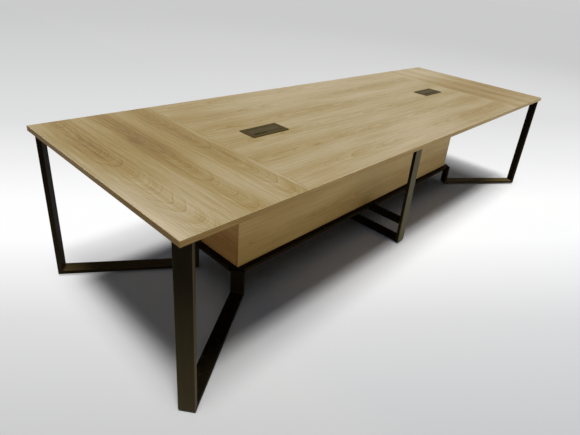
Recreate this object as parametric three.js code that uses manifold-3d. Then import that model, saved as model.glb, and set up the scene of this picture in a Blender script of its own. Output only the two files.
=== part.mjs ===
// Conference table: a three-panel wooden top on a wooden cable trunk, carried by flat steel tube frames.
// Millimetres, +Z up. The origin is on the floor under the middle of the top. +X runs along the table
// from left to right, and the near long side faces -Y.
import * as THREE from "three";
import { mergeVertices } from "three/addons/utils/BufferGeometryUtils.js";
import Module from "manifold-3d";

const wasm = await Module();
wasm.setup();

// Overall sizes
const TABLE_LENGTH = 3240;
const TABLE_WIDTH = 1130;
const TABLE_HEIGHT = 750;

// Top
const TOP_THICKNESS = 22;
const END_PANEL_LENGTH = 545;
const EDGE_BAND_THICKNESS = 2;

// Flat steel plates: those that join the panels, and those on top of the legs
const PLATE_THICKNESS = 5;
const SEAM_PLATE_LENGTH = 160;
const SEAM_PLATE_WIDTH = 60;
const SEAM_PLATE_FROM_CENTRE = 330;
const LEG_PLATE_LENGTH = 110;
const SCREW_HOLE_DIAMETER = 6;
const SCREW_HOLE_FROM_EDGE = 12;

// Steel tube, one section for every frame
const TUBE_WIDTH = 65;
const TUBE_DEPTH = 20;
const TUBE_WALL = 2;
const TUBE_CORNER_RADIUS = 3;

// Where the frames stand
const FLOOR_CLEARANCE = 10;
const LEG_INSET_LENGTHWISE = 26;
const LEG_INSET_CROSSWISE = 30;
const POST_OFF_TRUNK_LENGTHWISE = 5;
const POST_OFF_TRUNK_CROSSWISE = 14;
const MID_LEG_INSET = 139;

// Cable trunk and its base frame
const TRUNK_LENGTH = 2111;
const TRUNK_WIDTH = 289;
const TRUNK_BOTTOM = 154;
const TRUNK_BOARD = 18;
const TRUNK_CABLE_HOLE = 60;
const TRUNK_CABLE_HOLE_FROM_CENTRE = 500;
const BASE_LEDGE = 30;

// Levelling glides
const GLIDE_DIAMETER = 32;
const GLIDE_EDGE = 1.5;
const GLIDE_STEM_DIAMETER = 8;
const GLIDE_STEM_LENGTH = 16;
const GLIDE_FROM_LEG = 85;
const GLIDE_FROM_POST = 40;
const GLIDE_FROM_MID_LEG = 60;

// Power modules
const POWER_FROM_TRUNK_END = 260.5;
const BEZEL_LENGTH = 226;
const BEZEL_DEPTH = 108;
const BEZEL_THICKNESS = 3;
const BEZEL_CORNER_RADIUS = 5;
const BEZEL_FAR_BORDER = 18;
const COLLAR_WALL = 8;
const COLLAR_HEIGHT = 10;
const CUTOUT_CLEARANCE = 1;
const LID_LENGTH = 171;
const LID_DEPTH = 55;
const LID_THICKNESS = 3;
const LID_CLEARANCE = 0.5;
const CABLE_SLOT = 8;
const HINGE_PIN_DIAMETER = 3;
const HINGE_PIN_ENGAGEMENT = 5;
const LID_STOP_LENGTH = 6;
const LID_STOP_DEPTH = 10;
const LID_STOP_HEIGHT = 4;
const TRAY_HEIGHT = 80;
const TRAY_WALL = 2;
const TRAY_CABLE_HOLE = 25;
const SOCKET_BLOCK_LENGTH = 140;
const SOCKET_BLOCK_DEPTH = 60;
const SOCKET_BLOCK_HEIGHT = 25;
const SOCKET_BLOCK_FROM_END = 4;
const SOCKET_POCKET_LENGTH = 40;
const SOCKET_POCKET_WIDTH = 46;
const SOCKET_POCKET_DEPTH = 4;
const SOCKET_POCKET_PITCH = 45;
const SOCKET_POCKET_COUNT = 3;

// Gap between pieces that touch, clearance round a piece that moves in a hole, and how far a cutting
// shape runs past what it cuts
const FIT_GAP = 0.3;
const RUNNING_CLEARANCE = 0.1;
const OVERCUT = 1;
const ROUND_SEGMENTS = 20;
const CORNER_SEGMENTS = 3;

// Levels
const TOP_UNDERSIDE = TABLE_HEIGHT - TOP_THICKNESS;
const CARRIED_TOP = TOP_UNDERSIDE - FIT_GAP;
const BASE_RAIL_BOTTOM = TRUNK_BOTTOM - FIT_GAP - TUBE_DEPTH;
const BEZEL_UNDERSIDE = TABLE_HEIGHT + FIT_GAP;
const BEZEL_TOP = BEZEL_UNDERSIDE + BEZEL_THICKNESS;
const COLLAR_BOTTOM = BEZEL_UNDERSIDE - COLLAR_HEIGHT;
const TRAY_TOP = COLLAR_BOTTOM - FIT_GAP;
const TRAY_BOTTOM = TRAY_TOP - TRAY_HEIGHT;

// Plan of the frames: each end frame runs straight from its leg to its post at the trunk's corner
const SEAM_X = TABLE_LENGTH / 2 - END_PANEL_LENGTH;
const LEG_X = TABLE_LENGTH / 2 - LEG_INSET_LENGTHWISE;
const LEG_Y = TABLE_WIDTH / 2 - LEG_INSET_CROSSWISE;
const POST_X = TRUNK_LENGTH / 2 + POST_OFF_TRUNK_LENGTHWISE;
const POST_Y = TRUNK_WIDTH / 2 + POST_OFF_TRUNK_CROSSWISE;
const FRAME_LENGTH = Math.hypot(LEG_X - POST_X, LEG_Y - POST_Y);
const FRAME_ANGLE = Math.atan2(LEG_Y - POST_Y, LEG_X - POST_X);
const MID_LEG_Y = TABLE_WIDTH / 2 - MID_LEG_INSET;
const BASE_LENGTH = TRUNK_LENGTH + 2 * BASE_LEDGE;
const BASE_WIDTH = TRUNK_WIDTH + 2 * BASE_LEDGE;

// Plan of a power module, about its own centre
const POWER_X = TRUNK_LENGTH / 2 - POWER_FROM_TRUNK_END;
const OPENING_LENGTH = LID_LENGTH + 2 * LID_CLEARANCE;
const OPENING_DEPTH = LID_DEPTH + LID_CLEARANCE + CABLE_SLOT;
const OPENING_FAR = BEZEL_DEPTH / 2 - BEZEL_FAR_BORDER;
const OPENING_Y = OPENING_FAR - OPENING_DEPTH / 2;
const COLLAR_LENGTH = OPENING_LENGTH + 2 * COLLAR_WALL;
const COLLAR_DEPTH = OPENING_DEPTH + 2 * COLLAR_WALL;
const HINGE_Y = OPENING_FAR - LID_CLEARANCE - LID_THICKNESS;
const HINGE_Z = BEZEL_TOP - LID_THICKNESS;
const LID_NEAR = OPENING_FAR - LID_CLEARANCE - LID_DEPTH;

const CORNERS = [
  { name: "near_left", signX: -1, signY: -1 },
  { name: "near_right", signX: 1, signY: -1 },
  { name: "far_left", signX: -1, signY: 1 },
  { name: "far_right", signX: 1, signY: 1 },
];
const SIDES = [
  { name: "near", sign: -1 },
  { name: "far", sign: 1 },
];
const ENDS = [
  { name: "left", sign: -1 },
  { name: "right", sign: 1 },
];

const FINISHES = {
  oak: { color: 0xb2a07a, roughness: 0.5, metalness: 0 },
  trunkOak: { color: 0x9c7f55, roughness: 0.5, metalness: 0 },
  edgeBand: { color: 0x8d744c, roughness: 0.55, metalness: 0 },
  steel: { color: 0x2a241b, roughness: 0.5, metalness: 0.4 },
  bezel: { color: 0x463c2c, roughness: 0.4, metalness: 0.7 },
  plastic: { color: 0x17161a, roughness: 0.6, metalness: 0 },
  pin: { color: 0xb9b9bb, roughness: 0.3, metalness: 1 },
};

// Shapes

function rectangle(width, height, radius = 0) {
  const x = width / 2;
  const y = height / 2;
  const shape = new THREE.Shape();
  if (radius <= 0) {
    shape.setFromPoints([
      new THREE.Vector2(-x, -y),
      new THREE.Vector2(x, -y),
      new THREE.Vector2(x, y),
      new THREE.Vector2(-x, y),
    ]);
    return shape;
  }
  const quarter = Math.PI / 2;
  shape.moveTo(x - radius, -y);
  shape.absarc(x - radius, -y + radius, radius, -quarter, 0);
  shape.absarc(x - radius, y - radius, radius, 0, quarter);
  shape.absarc(-x + radius, y - radius, radius, quarter, 2 * quarter);
  shape.absarc(-x + radius, -y + radius, radius, 2 * quarter, 3 * quarter);
  return shape;
}

function extrude(shape, height) {
  const options = { depth: height, bevelEnabled: false, curveSegments: CORNER_SEGMENTS };
  return new THREE.ExtrudeGeometry(shape, options);
}

function block(width, depth, height, x = 0, y = 0, z = 0) {
  return new THREE.BoxGeometry(width, depth, height).translate(x, y, z);
}

// A round bar along Z, from the given foot upwards
function bar(diameter, length, x, y, z) {
  const radius = diameter / 2;
  const geometry = new THREE.CylinderGeometry(radius, radius, length, ROUND_SEGMENTS);
  return geometry.rotateX(Math.PI / 2).translate(x, y, z + length / 2);
}

// A round bar along X, about its middle
function crossBar(diameter, length, y, z) {
  const radius = diameter / 2;
  const geometry = new THREE.CylinderGeometry(radius, radius, length, ROUND_SEGMENTS);
  return geometry.rotateZ(Math.PI / 2).translate(0, y, z);
}

function solid(geometry) {
  const bare = geometry.clone();
  bare.deleteAttribute("normal");
  bare.deleteAttribute("uv");
  const merged = mergeVertices(bare);
  const vertProperties = new Float32Array(merged.attributes.position.array);
  const triVerts = new Uint32Array(merged.index.array);
  return new wasm.Manifold(new wasm.Mesh({ numProp: 3, vertProperties, triVerts }));
}

function surface(body) {
  const mesh = body.getMesh();
  const geometry = new THREE.BufferGeometry();
  geometry.setAttribute("position", new THREE.BufferAttribute(new Float32Array(mesh.vertProperties), 3));
  geometry.setIndex(new THREE.BufferAttribute(new Uint32Array(mesh.triVerts), 1));
  geometry.computeVertexNormals();
  return geometry;
}

function drill(body, cuts) {
  return cuts.reduce((left, cut) => left.subtract(solid(cut)), body);
}

function piece(name, geometry, finish) {
  const mesh = new THREE.Mesh(geometry, new THREE.MeshStandardMaterial(FINISHES[finish]));
  mesh.name = name;
  return mesh;
}

// A tube's section: x across the width, y from the outer face inwards, z along the tube. Each end is cut
// on the plane z = at + slope * y.
function prism(inset, start, end) {
  const width = TUBE_WIDTH - 2 * inset;
  const depth = TUBE_DEPTH - 2 * inset;
  const geometry = extrude(rectangle(width, depth, TUBE_CORNER_RADIUS - inset), 1);
  geometry.translate(0, TUBE_DEPTH / 2, 0);
  const position = geometry.attributes.position;
  for (let i = 0; i < position.count; i++) {
    const cut = position.getZ(i) < 0.5 ? start : end;
    position.setZ(i, cut.at + cut.slope * position.getY(i));
  }
  return solid(geometry);
}

function past(cut, distance) {
  return { at: cut.at + distance, slope: cut.slope };
}

// An open tube has both ends open, a closed one has a wall at its end
function tube(start, end, closed = false) {
  const boreEnd = past(end, closed ? -TUBE_WALL : OVERCUT);
  return prism(0, start, end).subtract(prism(TUBE_WALL, past(start, -OVERCUT), boreEnd));
}

const SQUARE = 0;
const MITRE = 1;
const MITRE_GAP = FIT_GAP / Math.SQRT2;

function cutAt(at, slope = SQUARE) {
  return { at, slope };
}

// Turns a tube so that it lies along X with its outer face down
function alongX(body) {
  const basis = new THREE.Matrix4().makeBasis(
    new THREE.Vector3(0, 1, 0),
    new THREE.Vector3(0, 0, 1),
    new THREE.Vector3(1, 0, 0),
  );
  return surface(body).applyMatrix4(basis);
}

// Turns a tube so that it lies along Y with its outer face down
function alongY(body) {
  return alongX(body).rotateZ(Math.PI / 2);
}

// Four screw holes near the corners of a plate that lies from the given near end along y
function screwHoles(width, length, nearEnd, plateBottom) {
  const x = width / 2 - SCREW_HOLE_FROM_EDGE;
  const rows = [nearEnd + SCREW_HOLE_FROM_EDGE, nearEnd + length - SCREW_HOLE_FROM_EDGE];
  const height = PLATE_THICKNESS + 2 * OVERCUT;
  return rows.flatMap((y) =>
    [-x, x].map((side) => bar(SCREW_HOLE_DIAMETER, height, side, y, plateBottom - OVERCUT)),
  );
}

// A leg: a tube mitred to its floor rail, closed by a welded top plate that reaches in under the top
function legGeometry() {
  const bottom = cutAt(FLOOR_CLEARANCE + MITRE_GAP, MITRE);
  const plateBottom = CARRIED_TOP - PLATE_THICKNESS;
  const outside = prism(0, bottom, cutAt(CARRIED_TOP));
  const bore = prism(TUBE_WALL, past(bottom, -OVERCUT), cutAt(plateBottom));
  const plateMiddle = plateBottom + PLATE_THICKNESS / 2;
  const plate = block(TUBE_WIDTH, LEG_PLATE_LENGTH, PLATE_THICKNESS, 0, LEG_PLATE_LENGTH / 2, plateMiddle);
  const holeRoom = LEG_PLATE_LENGTH - TUBE_DEPTH;
  const holes = screwHoles(TUBE_WIDTH, holeRoom, TUBE_DEPTH, plateBottom);
  return surface(drill(outside.add(solid(plate)).subtract(bore), holes));
}

// A floor rail with a stem hole in its underside for each glide, given as distances along the rail
function floorRailGeometry(length, glides) {
  const start = cutAt(MITRE_GAP, MITRE);
  const end = cutAt(length - MITRE_GAP, -MITRE);
  const rail = tube(start, end);
  const holeDiameter = GLIDE_STEM_DIAMETER + 2 * RUNNING_CLEARANCE;
  const holeDepth = TUBE_WALL + 2 * OVERCUT;
  const holes = glides.map((distance) => {
    const hole = bar(holeDiameter, holeDepth, 0, 0, -OVERCUT);
    return hole.rotateX(-Math.PI / 2).translate(0, 0, distance);
  });
  return alongX(drill(rail, holes)).translate(0, 0, FLOOR_CLEARANCE);
}

function postGeometry() {
  const bottom = cutAt(FLOOR_CLEARANCE + MITRE_GAP, MITRE);
  return surface(tube(bottom, cutAt(TRUNK_BOTTOM - FIT_GAP), true));
}

function glideGeometry() {
  const foot = GLIDE_DIAMETER / 2;
  const stem = GLIDE_STEM_DIAMETER / 2;
  const footTop = FLOOR_CLEARANCE - FIT_GAP;
  const profile = [
    [0, 0],
    [foot - GLIDE_EDGE, 0],
    [foot, GLIDE_EDGE],
    [foot, footTop - GLIDE_EDGE],
    [foot - GLIDE_EDGE, footTop],
    [stem, footTop],
    [stem, footTop + GLIDE_STEM_LENGTH],
    [0, footTop + GLIDE_STEM_LENGTH],
  ];
  const points = profile.map(([radius, height]) => new THREE.Vector2(radius, height));
  return new THREE.LatheGeometry(points, ROUND_SEGMENTS).rotateX(Math.PI / 2);
}

// Top

function endPanel({ name, sign }) {
  const length = END_PANEL_LENGTH - EDGE_BAND_THICKNESS - 2 * FIT_GAP;
  const width = TABLE_WIDTH - 2 * (EDGE_BAND_THICKNESS + FIT_GAP);
  const middle = sign * (SEAM_X + FIT_GAP + length / 2);
  const geometry = block(length, width, TOP_THICKNESS, middle, 0, TABLE_HEIGHT - TOP_THICKNESS / 2);
  return piece(`top_panel_${name}`, geometry, "oak");
}

function centrePanel() {
  const length = 2 * (SEAM_X - FIT_GAP);
  const width = TABLE_WIDTH - 2 * (EDGE_BAND_THICKNESS + FIT_GAP);
  const middle = TABLE_HEIGHT - TOP_THICKNESS / 2;
  const board = solid(block(length, width, TOP_THICKNESS, 0, 0, middle));
  const cutouts = ENDS.map(({ sign }) =>
    block(
      COLLAR_LENGTH + 2 * CUTOUT_CLEARANCE,
      COLLAR_DEPTH + 2 * CUTOUT_CLEARANCE,
      TOP_THICKNESS + 2 * OVERCUT,
      sign * POWER_X,
      OPENING_Y,
      middle,
    ),
  );
  return piece("top_panel_centre", surface(drill(board, cutouts)), "oak");
}

// An end panel's band goes round its three outer edges
function endEdgeBand({ name, sign }) {
  const outer = TABLE_LENGTH / 2;
  const inner = outer - EDGE_BAND_THICKNESS;
  const seam = SEAM_X + FIT_GAP;
  const side = TABLE_WIDTH / 2;
  const innerSide = side - EDGE_BAND_THICKNESS;
  const outline = [
    [seam, -side],
    [outer, -side],
    [outer, side],
    [seam, side],
    [seam, innerSide],
    [inner, innerSide],
    [inner, -innerSide],
    [seam, -innerSide],
  ];
  const shape = new THREE.Shape(outline.map(([x, y]) => new THREE.Vector2(x, y)));
  const geometry = extrude(shape, TOP_THICKNESS).translate(0, 0, TOP_UNDERSIDE);
  if (sign < 0) geometry.rotateZ(Math.PI);
  return piece(`edge_band_${name}`, geometry, "edgeBand");
}

function sideEdgeBand({ name, sign }) {
  const length = 2 * (SEAM_X - FIT_GAP);
  const y = sign * (TABLE_WIDTH / 2 - EDGE_BAND_THICKNESS / 2);
  const z = TABLE_HEIGHT - TOP_THICKNESS / 2;
  return piece(`edge_band_${name}`, block(length, EDGE_BAND_THICKNESS, TOP_THICKNESS, 0, y, z), "edgeBand");
}

function seamPlate({ name, signX, signY }) {
  const plate = solid(block(SEAM_PLATE_WIDTH, SEAM_PLATE_LENGTH, PLATE_THICKNESS, 0, 0, PLATE_THICKNESS / 2));
  const holes = screwHoles(SEAM_PLATE_WIDTH, SEAM_PLATE_LENGTH, -SEAM_PLATE_LENGTH / 2, 0);
  const mesh = piece(`seam_plate_${name}`, surface(drill(plate, holes)), "steel");
  mesh.rotation.z = Math.PI / 2;
  mesh.position.set(signX * SEAM_X, signY * SEAM_PLATE_FROM_CENTRE, CARRIED_TOP - PLATE_THICKNESS);
  return mesh;
}

// Cable trunk

const TRUNK_HEIGHT = CARRIED_TOP - TRUNK_BOTTOM;
const TRUNK_INSIDE = TRUNK_WIDTH - 2 * (TRUNK_BOARD + FIT_GAP);

function trunkSide({ name, sign }) {
  const y = sign * (TRUNK_WIDTH / 2 - TRUNK_BOARD / 2);
  const geometry = block(TRUNK_LENGTH, TRUNK_BOARD, TRUNK_HEIGHT, 0, y, TRUNK_BOTTOM + TRUNK_HEIGHT / 2);
  return piece(`trunk_side_${name}`, geometry, "trunkOak");
}

function trunkEnd({ name, sign }) {
  const x = sign * (TRUNK_LENGTH / 2 - TRUNK_BOARD / 2);
  const geometry = block(TRUNK_BOARD, TRUNK_INSIDE, TRUNK_HEIGHT, x, 0, TRUNK_BOTTOM + TRUNK_HEIGHT / 2);
  return piece(`trunk_end_${name}`, geometry, "trunkOak");
}

function trunkFloor() {
  const length = TRUNK_LENGTH - 2 * (TRUNK_BOARD + FIT_GAP);
  const board = solid(block(length, TRUNK_INSIDE, TRUNK_BOARD, 0, 0, TRUNK_BOTTOM + TRUNK_BOARD / 2));
  const holes = ENDS.map(({ sign }) => {
    const x = sign * TRUNK_CABLE_HOLE_FROM_CENTRE;
    return bar(TRUNK_CABLE_HOLE, TRUNK_BOARD + 2 * OVERCUT, x, 0, TRUNK_BOTTOM - OVERCUT);
  });
  return piece("trunk_floor", surface(drill(board, holes)), "trunkOak");
}

// Base frame under the trunk. Its long rails are cut off on the faces of the end frames' posts.

function endFrameGroup({ signX, signY }) {
  const group = new THREE.Group();
  group.position.set(signX * LEG_X, signY * LEG_Y, 0);
  group.rotation.z = Math.atan2(-signY * Math.sin(FRAME_ANGLE), -signX * Math.cos(FRAME_ANGLE));
  group.updateMatrix();
  return group;
}

function postRoom(corner) {
  const length = FRAME_LENGTH + FIT_GAP;
  const room = block(length, BASE_LENGTH, TABLE_HEIGHT, length / 2, 0, TABLE_HEIGHT / 2);
  return room.applyMatrix4(endFrameGroup(corner).matrix);
}

function baseLongRail({ name, sign }) {
  const y = sign * (BASE_WIDTH / 2 - TUBE_WIDTH / 2);
  const rail = alongX(tube(cutAt(-BASE_LENGTH / 2), cutAt(BASE_LENGTH / 2)));
  const corners = CORNERS.filter(({ signY }) => signY === sign);
  const placed = solid(rail.translate(0, y, BASE_RAIL_BOTTOM));
  return piece(`base_rail_${name}`, surface(drill(placed, corners.map(postRoom))), "steel");
}

const BASE_CROSS_LENGTH = BASE_WIDTH - 2 * (TUBE_WIDTH + FIT_GAP);

function baseCrossRail(name, x) {
  const rail = alongY(tube(cutAt(-BASE_CROSS_LENGTH / 2), cutAt(BASE_CROSS_LENGTH / 2)));
  return piece(`base_rail_${name}`, rail.translate(x, 0, BASE_RAIL_BOTTOM), "steel");
}

// End frames: local +X runs from the leg's outer face to the post's inner face

function glide(name, x) {
  const mesh = piece(name, glideGeometry(), "plastic");
  mesh.position.x = x;
  return mesh;
}

function endFrame(corner) {
  const group = endFrameGroup(corner);
  const glideOuter = GLIDE_FROM_LEG;
  const glideInner = FRAME_LENGTH - GLIDE_FROM_POST;
  const leg = piece(`leg_${corner.name}`, legGeometry(), "steel");
  leg.rotation.z = -Math.PI / 2;
  const rail = floorRailGeometry(FRAME_LENGTH, [glideOuter, glideInner]);
  const post = piece(`post_${corner.name}`, postGeometry(), "steel");
  post.rotation.z = Math.PI / 2;
  post.position.x = FRAME_LENGTH;
  group.add(leg, piece(`floor_rail_${corner.name}`, rail, "steel"), post);
  group.add(glide(`glide_outer_${corner.name}`, glideOuter), glide(`glide_inner_${corner.name}`, glideInner));
  return group;
}

// Mid frame: local +X runs from the near leg's outer face to the far leg's
function midFrame() {
  const group = new THREE.Group();
  group.position.y = -MID_LEG_Y;
  group.rotation.z = Math.PI / 2;
  const length = 2 * MID_LEG_Y;
  const places = SIDES.map(({ name, sign }) => ({
    name,
    legX: sign < 0 ? 0 : length,
    legTurn: (sign * Math.PI) / 2,
    glideX: sign < 0 ? GLIDE_FROM_MID_LEG : length - GLIDE_FROM_MID_LEG,
  }));
  const rail = floorRailGeometry(length, places.map(({ glideX }) => glideX));
  group.add(piece("floor_rail_mid", rail, "steel"));
  for (const { name, legX, legTurn, glideX } of places) {
    const leg = piece(`leg_mid_${name}`, legGeometry(), "steel");
    leg.position.x = legX;
    leg.rotation.z = legTurn;
    group.add(leg, glide(`glide_mid_${name}`, glideX));
  }
  return group;
}

function midStretcher({ name, sign }) {
  const inner = BASE_WIDTH / 2 + FIT_GAP;
  const outer = MID_LEG_Y - TUBE_DEPTH - FIT_GAP;
  const rail = alongY(tube(cutAt(inner), cutAt(outer)));
  if (sign < 0) rail.rotateZ(Math.PI);
  return piece(`stretcher_${name}`, rail.translate(0, 0, BASE_RAIL_BOTTOM), "steel");
}

// Power modules

function openingBlock(bottom, top) {
  const height = top - bottom;
  return block(OPENING_LENGTH, OPENING_DEPTH, height, 0, OPENING_Y, bottom + height / 2);
}

// A flange on the top's face, and a collar through the cut-out with the lid's stops and pin holes
function bezelGeometry() {
  const flange = extrude(rectangle(BEZEL_LENGTH, BEZEL_DEPTH, BEZEL_CORNER_RADIUS), BEZEL_THICKNESS);
  flange.translate(0, 0, BEZEL_UNDERSIDE);
  const collarTop = BEZEL_UNDERSIDE + BEZEL_THICKNESS / 2;
  const collarHeight = collarTop - COLLAR_BOTTOM;
  const collarMiddle = COLLAR_BOTTOM + collarHeight / 2;
  const collar = block(COLLAR_LENGTH, COLLAR_DEPTH, collarHeight, 0, OPENING_Y, collarMiddle);
  const opening = openingBlock(COLLAR_BOTTOM - OVERCUT, BEZEL_TOP + OVERCUT);
  const ring = solid(flange).add(solid(collar)).subtract(solid(opening));
  const stopX = OPENING_LENGTH / 2 - LID_STOP_LENGTH / 2;
  const stopY = LID_NEAR + LID_STOP_DEPTH / 2;
  const stopZ = BEZEL_TOP - LID_THICKNESS - FIT_GAP - LID_STOP_HEIGHT / 2;
  const stopLength = LID_STOP_LENGTH + 2 * OVERCUT;
  const stops = ENDS.map(({ sign }) =>
    solid(block(stopLength, LID_STOP_DEPTH, LID_STOP_HEIGHT, sign * stopX, stopY, stopZ)),
  );
  const withStops = ring.add(stops[0]).add(stops[1]);
  const holeDiameter = HINGE_PIN_DIAMETER + 2 * RUNNING_CLEARANCE;
  const holeLength = OPENING_LENGTH + 2 * (HINGE_PIN_ENGAGEMENT + FIT_GAP);
  const pinHole = crossBar(holeDiameter, holeLength, HINGE_Y, HINGE_Z);
  return surface(drill(withStops, [pinHole]));
}

// A flat flap whose far edge is a barrel round the hinge pin
function lidGeometry() {
  const depth = HINGE_Y - LID_NEAR;
  const flap = block(LID_LENGTH, depth, LID_THICKNESS, 0, HINGE_Y - depth / 2, HINGE_Z + LID_THICKNESS / 2);
  const barrel = crossBar(2 * LID_THICKNESS, LID_LENGTH, HINGE_Y, HINGE_Z);
  const holeDiameter = HINGE_PIN_DIAMETER + 2 * RUNNING_CLEARANCE;
  const pinHole = crossBar(holeDiameter, LID_LENGTH + 2 * OVERCUT, HINGE_Y, HINGE_Z);
  return surface(drill(solid(flap).add(solid(barrel)), [pinHole]));
}

function hingePinGeometry() {
  return crossBar(HINGE_PIN_DIAMETER, OPENING_LENGTH + 2 * HINGE_PIN_ENGAGEMENT, HINGE_Y, HINGE_Z);
}

const TRAY_INSIDE_LENGTH = COLLAR_LENGTH - 2 * TRAY_WALL;
const SOCKET_BLOCK_OUTWARDS = TRAY_INSIDE_LENGTH / 2 - SOCKET_BLOCK_FROM_END - SOCKET_BLOCK_LENGTH / 2;

// The socket block stands at the table's end of the tray, and the cable hole is in the floor beside it
function trayGeometry(sign) {
  const middle = TRAY_BOTTOM + TRAY_HEIGHT / 2;
  const outside = solid(block(COLLAR_LENGTH, COLLAR_DEPTH, TRAY_HEIGHT, 0, OPENING_Y, middle));
  const insideDepth = COLLAR_DEPTH - 2 * TRAY_WALL;
  const inside = block(TRAY_INSIDE_LENGTH, insideDepth, TRAY_HEIGHT, 0, OPENING_Y, middle + TRAY_WALL);
  const freeLength = TRAY_INSIDE_LENGTH - SOCKET_BLOCK_FROM_END - SOCKET_BLOCK_LENGTH;
  const holeX = -sign * (TRAY_INSIDE_LENGTH / 2 - freeLength / 2);
  const hole = bar(TRAY_CABLE_HOLE, TRAY_WALL + 2 * OVERCUT, holeX, OPENING_Y, TRAY_BOTTOM - OVERCUT);
  return surface(drill(outside, [inside, hole]));
}

// A block on the tray's floor with a row of shallow pockets that hold the socket fittings
function socketBlockGeometry(sign) {
  const middleX = sign * SOCKET_BLOCK_OUTWARDS;
  const bottom = TRAY_BOTTOM + TRAY_WALL + FIT_GAP;
  const top = bottom + SOCKET_BLOCK_HEIGHT;
  const middle = bottom + SOCKET_BLOCK_HEIGHT / 2;
  const body = block(SOCKET_BLOCK_LENGTH, SOCKET_BLOCK_DEPTH, SOCKET_BLOCK_HEIGHT).translate(
    middleX,
    OPENING_Y,
    middle,
  );
  const first = middleX - ((SOCKET_POCKET_COUNT - 1) * SOCKET_POCKET_PITCH) / 2;
  const height = SOCKET_POCKET_DEPTH + OVERCUT;
  const pockets = Array.from({ length: SOCKET_POCKET_COUNT }, (_, i) => {
    const x = first + i * SOCKET_POCKET_PITCH;
    return block(SOCKET_POCKET_LENGTH, SOCKET_POCKET_WIDTH, height, x, OPENING_Y, top + OVERCUT - height / 2);
  });
  return surface(drill(solid(body), pockets));
}

function powerModule({ name, sign }) {
  const group = new THREE.Group();
  group.position.x = sign * POWER_X;
  group.add(
    piece(`power_bezel_${name}`, bezelGeometry(), "bezel"),
    piece(`power_lid_${name}`, lidGeometry(), "bezel"),
    piece(`power_hinge_pin_${name}`, hingePinGeometry(), "pin"),
    piece(`power_tray_${name}`, trayGeometry(sign), "steel"),
    piece(`power_sockets_${name}`, socketBlockGeometry(sign), "plastic"),
  );
  return group;
}

const table = new THREE.Group();
table.add(centrePanel(), ...ENDS.map(endPanel));
table.add(...ENDS.map(endEdgeBand), ...SIDES.map(sideEdgeBand), ...CORNERS.map(seamPlate));
table.add(...SIDES.map(trunkSide), ...ENDS.map(trunkEnd), trunkFloor());
table.add(...SIDES.map(baseLongRail), baseCrossRail("mid", 0));
table.add(...ENDS.map(({ name, sign }) => baseCrossRail(name, sign * (BASE_LENGTH / 2 - TUBE_WIDTH / 2))));
table.add(...CORNERS.map(endFrame), midFrame(), ...SIDES.map(midStretcher));
table.add(...ENDS.map(powerModule));

export default table;
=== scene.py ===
import random
from math import cos, pi, radians, sin

import bmesh
import bpy
from mathutils import Matrix, Vector


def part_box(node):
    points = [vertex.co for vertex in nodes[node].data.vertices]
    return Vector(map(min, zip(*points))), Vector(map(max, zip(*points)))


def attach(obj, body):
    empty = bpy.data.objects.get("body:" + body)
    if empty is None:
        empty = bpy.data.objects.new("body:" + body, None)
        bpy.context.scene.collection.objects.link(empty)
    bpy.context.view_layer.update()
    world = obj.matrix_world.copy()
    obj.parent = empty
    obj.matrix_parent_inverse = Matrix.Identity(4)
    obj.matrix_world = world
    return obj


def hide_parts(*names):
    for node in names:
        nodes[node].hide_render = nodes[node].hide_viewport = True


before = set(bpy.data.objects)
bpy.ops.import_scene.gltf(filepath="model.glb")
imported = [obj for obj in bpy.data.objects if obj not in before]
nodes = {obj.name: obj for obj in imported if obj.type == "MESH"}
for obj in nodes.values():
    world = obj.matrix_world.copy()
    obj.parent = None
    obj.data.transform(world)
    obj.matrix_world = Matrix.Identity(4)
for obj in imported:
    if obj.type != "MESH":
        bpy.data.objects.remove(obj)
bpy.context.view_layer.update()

# The camera at the photograph's viewing angle: metres, radians and pixels of the image
IMAGE_WIDTH = 580
IMAGE_HEIGHT = 435
CAMERA_PLACE = Vector((-2.208468, -1.514788, 1.481002))
CAMERA_YAW = 0.6640882
CAMERA_PITCH = 0.4355472
CAMERA_ROLL = -0.1229066
CAMERA_FOCAL = 451.312
CAMERA_CENTRE = (326.241, 180.209)
CAMERA_REACH = 500.0
SENSOR_WIDTH = 36.0

# The floor: a pale sheet with a painted band of light that fans out from a far point beside the table.
# The bands are angles in degrees with grey levels from 0 to 255, and all else is in metres.
FLOOR_HALF = 60.0
FLOOR_FAN_CENTRE = (-10.90, 8.474)
FLOOR_FAN = (-45.0, 31.0)
FLOOR_BANDS = ((-44.4, 205), (-43.4, 213), (-42.0, 223), (-40.75, 239), (-39.1, 255),
               (-37.0, 255), (-34.0, 241), (-29.6, 225), (-17.3, 213), (13.2, 203))
FLOOR_FADE = (5.0, 12.0)
FLOOR_BOUNCE = (0.50, 0.50, 0.50, 1.0)
FLOOR_GRAIN = 40.0
FLOOR_ROUGH = (0.92, 1.0)

# The shadow on the floor is lifted behind the table and beside its right end, from none at the first
# distance to a share at the second, and faintly lit elsewhere
FLOOR_BEHIND = (0.36, 0.52, 0.0, 0.58)
FLOOR_BESIDE = (1.32, 1.74, 0.0, 0.40)
FLOOR_GLOW_SIDES = (0.0, 0.006, 0.017, 1.0)
FLOOR_GLOW_ENDS = (0.018, 0.020, 0.022, 1.0)
FLOOR_SIDES = (0.14, 0.30)
FLOOR_ENDS = (1.05, 1.25)
BLACK = (0.0, 0.0, 0.0, 1.0)

# Lamps and backdrop. A sun has its name, strength, angle in degrees, and the direction that it shines from.
KEY_SUN = ("key", 1.37, 9.0, (-0.124, -0.220, 1.0))
SOFT_SUN = ("soft", 1.62, 17.0, (-0.092, -0.076, 1.0))
SUN_DISTANCE = 6.0
STRIP_POWER = 300.0
STRIP_SIZE = (20.0, 0.3)
STRIP_PLACE = (-2.5, -8.0, 0.2)
AMBIENT = 0.030
BACKDROP_SEEN = 0.604
BACKDROP_MIRRORED = 0.75


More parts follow.
